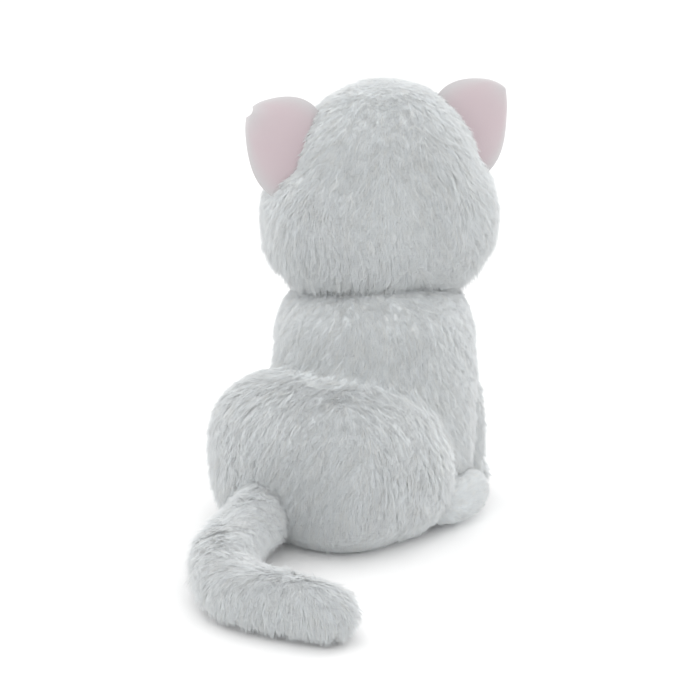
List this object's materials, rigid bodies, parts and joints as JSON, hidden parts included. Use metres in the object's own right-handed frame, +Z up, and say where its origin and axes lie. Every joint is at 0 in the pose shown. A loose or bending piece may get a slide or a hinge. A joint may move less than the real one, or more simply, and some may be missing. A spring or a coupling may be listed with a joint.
{
  "type": "interactive plush pet",
  "caption": "White long-pile plush cat, sitting, head turned, pink ears, tail curled behind; geared head, mouth and tail, eyelids, hard base with battery bay.",
  "frame": {"origin": "on the floor under the base, straight below the neck's turning axis", "axes": "+Z up, -Y the way the body faces, +X the cat's left"},
  "size_m": [0.2005, 0.2825, 0.2589],
  "materials": {
    "long_pile_plush": "matte",
    "ear_velour": "matte",
    "nose_plastic": "satin",
    "eye_plastic": "gloss",
    "eyelid_plastic": "satin",
    "steel": "satin",
    "motor_can": "satin",
    "contact_plate": "polished",
    "cell_jacket": "gloss",
    "circuit_board": "satin",
    "chip_plastic": "matte",
    "speaker_cone": "matte",
    "gear_plastic": "satin",
    "base_plastic": "matte",
    "control_plastic": "satin",
    "shell_plastic": "satin"
  },
  "bodies": {
    "torso": {"torso_plush": "long_pile_plush", "front_leg_left": "long_pile_plush", "front_leg_right": "long_pile_plush", "hind_foot_left": "long_pile_plush", "hind_foot_right": "long_pile_plush", "body_shell_left": "shell_plastic", "body_shell_right": "shell_plastic", "housing_screws": "steel", "base_housing": "base_plastic", "battery_cells": "cell_jacket", "battery_contacts": "contact_plate", "speaker_basket": "steel", "speaker_cone": "speaker_cone", "speaker_magnet": "steel", "switch_body": "control_plastic", "circuit_board": "circuit_board", "board_chips": "chip_plastic", "back_button_spring": "steel", "gear_plate": "shell_plastic", "neck_bush": "gear_plastic", "neck_motor": "motor_can", "tail_bracket": "shell_plastic", "tail_gear_lid": "shell_plastic", "tail_motor": "motor_can"},
    "neck": {"neck_shaft": "steel", "neck_gear": "gear_plastic", "neck_yoke": "shell_plastic", "nod_axle": "steel"},
    "neck_drive": {"neck_pinion": "gear_plastic"},
    "head": {"head_plush": "long_pile_plush", "ear_left": "ear_velour", "ear_right": "ear_velour", "muzzle": "long_pile_plush", "nose": "nose_plastic", "head_shell_front": "shell_plastic", "head_shell_back": "shell_plastic", "head_bracket": "shell_plastic", "eye_left": "eye_plastic", "eye_right": "eye_plastic", "eye_carrier": "shell_plastic", "jaw_pin": "steel", "jaw_motor": "motor_can", "head_button_spring": "steel"},
    "jaw": {"lower_jaw": "long_pile_plush", "jaw_frame": "gear_plastic"},
    "jaw_drive": {"jaw_pinion": "gear_plastic"},
    "eyelids": {"eyelid_left": "eyelid_plastic", "eyelid_right": "eyelid_plastic", "eyelid_axle": "steel", "eyelid_weight": "steel"},
    "tail": {"tail_plush": "long_pile_plush", "tail_core": "shell_plastic", "tail_pin": "steel", "tail_sector": "gear_plastic"},
    "tail_drive": {"tail_pinion": "gear_plastic"},
    "switch_knob": {"power_switch": "control_plastic"},
    "door": {"battery_door": "base_plastic", "battery_screw": "steel"},
    "back_touch": {"back_button": "control_plastic"},
    "crown_touch": {"head_button": "control_plastic"}
  },
  "joints": [
    {"name": "head_turn", "type": "hinge", "parent": "torso", "child": "neck", "pos_m": [0, 0, 0.145], "axis": [0, 0, 1], "range_deg": [-116, 4]},
    {"name": "neck_pinion_turn", "type": "hinge", "parent": "torso", "child": "neck_drive", "pos_m": [0, 0.02572, 0.092], "axis": [0, 0, 1], "range_deg": [-12, 348]},
    {"name": "head_nod", "type": "hinge", "parent": "neck", "child": "head", "pos_m": [0, 0, 0.145], "axis": [0.5578, 0.827, -0.0698], "range_deg": [-8, 14]},
    {"name": "mouth_open", "type": "hinge", "parent": "head", "child": "jaw", "pos_m": [0.01633, -0.00798, 0.18091], "axis": [0.5578, 0.827, -0.0698], "range_deg": [0, 14]},
    {"name": "jaw_pinion_turn", "type": "hinge", "parent": "head", "child": "jaw_drive", "pos_m": [0.01705, -0.00691, 0.19939], "axis": [0.5578, 0.827, -0.0698], "range_deg": [-32, 0]},
    {"name": "eyelids_close", "type": "hinge", "parent": "head", "child": "eyelids", "pos_m": [0.03637, -0.0194, 0.20585], "axis": [0.5578, 0.827, -0.0698], "range_deg": [0, 70]},
    {"name": "tail_swing", "type": "hinge", "parent": "torso", "child": "tail", "pos_m": [0, 0.102, 0.024], "axis": [0, 0, 1], "range_deg": [-36, 18]},
    {"name": "tail_pinion_turn", "type": "hinge", "parent": "torso", "child": "tail_drive", "pos_m": [0, 0.08028, 0.046], "axis": [0, 0, 1], "range_deg": [-51.5, 103]},
    {"name": "power_slide", "type": "slide", "parent": "torso", "child": "switch_knob", "axis": [0, 1, 0], "range_m": [0, 0.0042]},
    {"name": "door_off", "type": "slide", "parent": "torso", "child": "door", "axis": [0, 0, -1], "range_m": [0, 0.012]},
    {"name": "back_press", "type": "slide", "parent": "torso", "child": "back_touch", "axis": [0, -1, 0], "range_m": [0, 0.0013], "stiffness_N_per_m": 300, "springref_m": -0.002},
    {"name": "crown_press", "type": "slide", "parent": "head", "child": "crown_touch", "axis": [-0.039, -0.0578, -0.9976], "range_m": [0, 0.0013], "stiffness_N_per_m": 300, "springref_m": -0.002}
  ],
  "couplings": [
    {"joint": "neck_pinion_turn", "follows": "head_turn", "ratio": -3},
    {"joint": "jaw_pinion_turn", "follows": "mouth_open", "ratio": -2.2857},
    {"joint": "tail_pinion_turn", "follows": "tail_swing", "ratio": -2.8571}
  ]
}
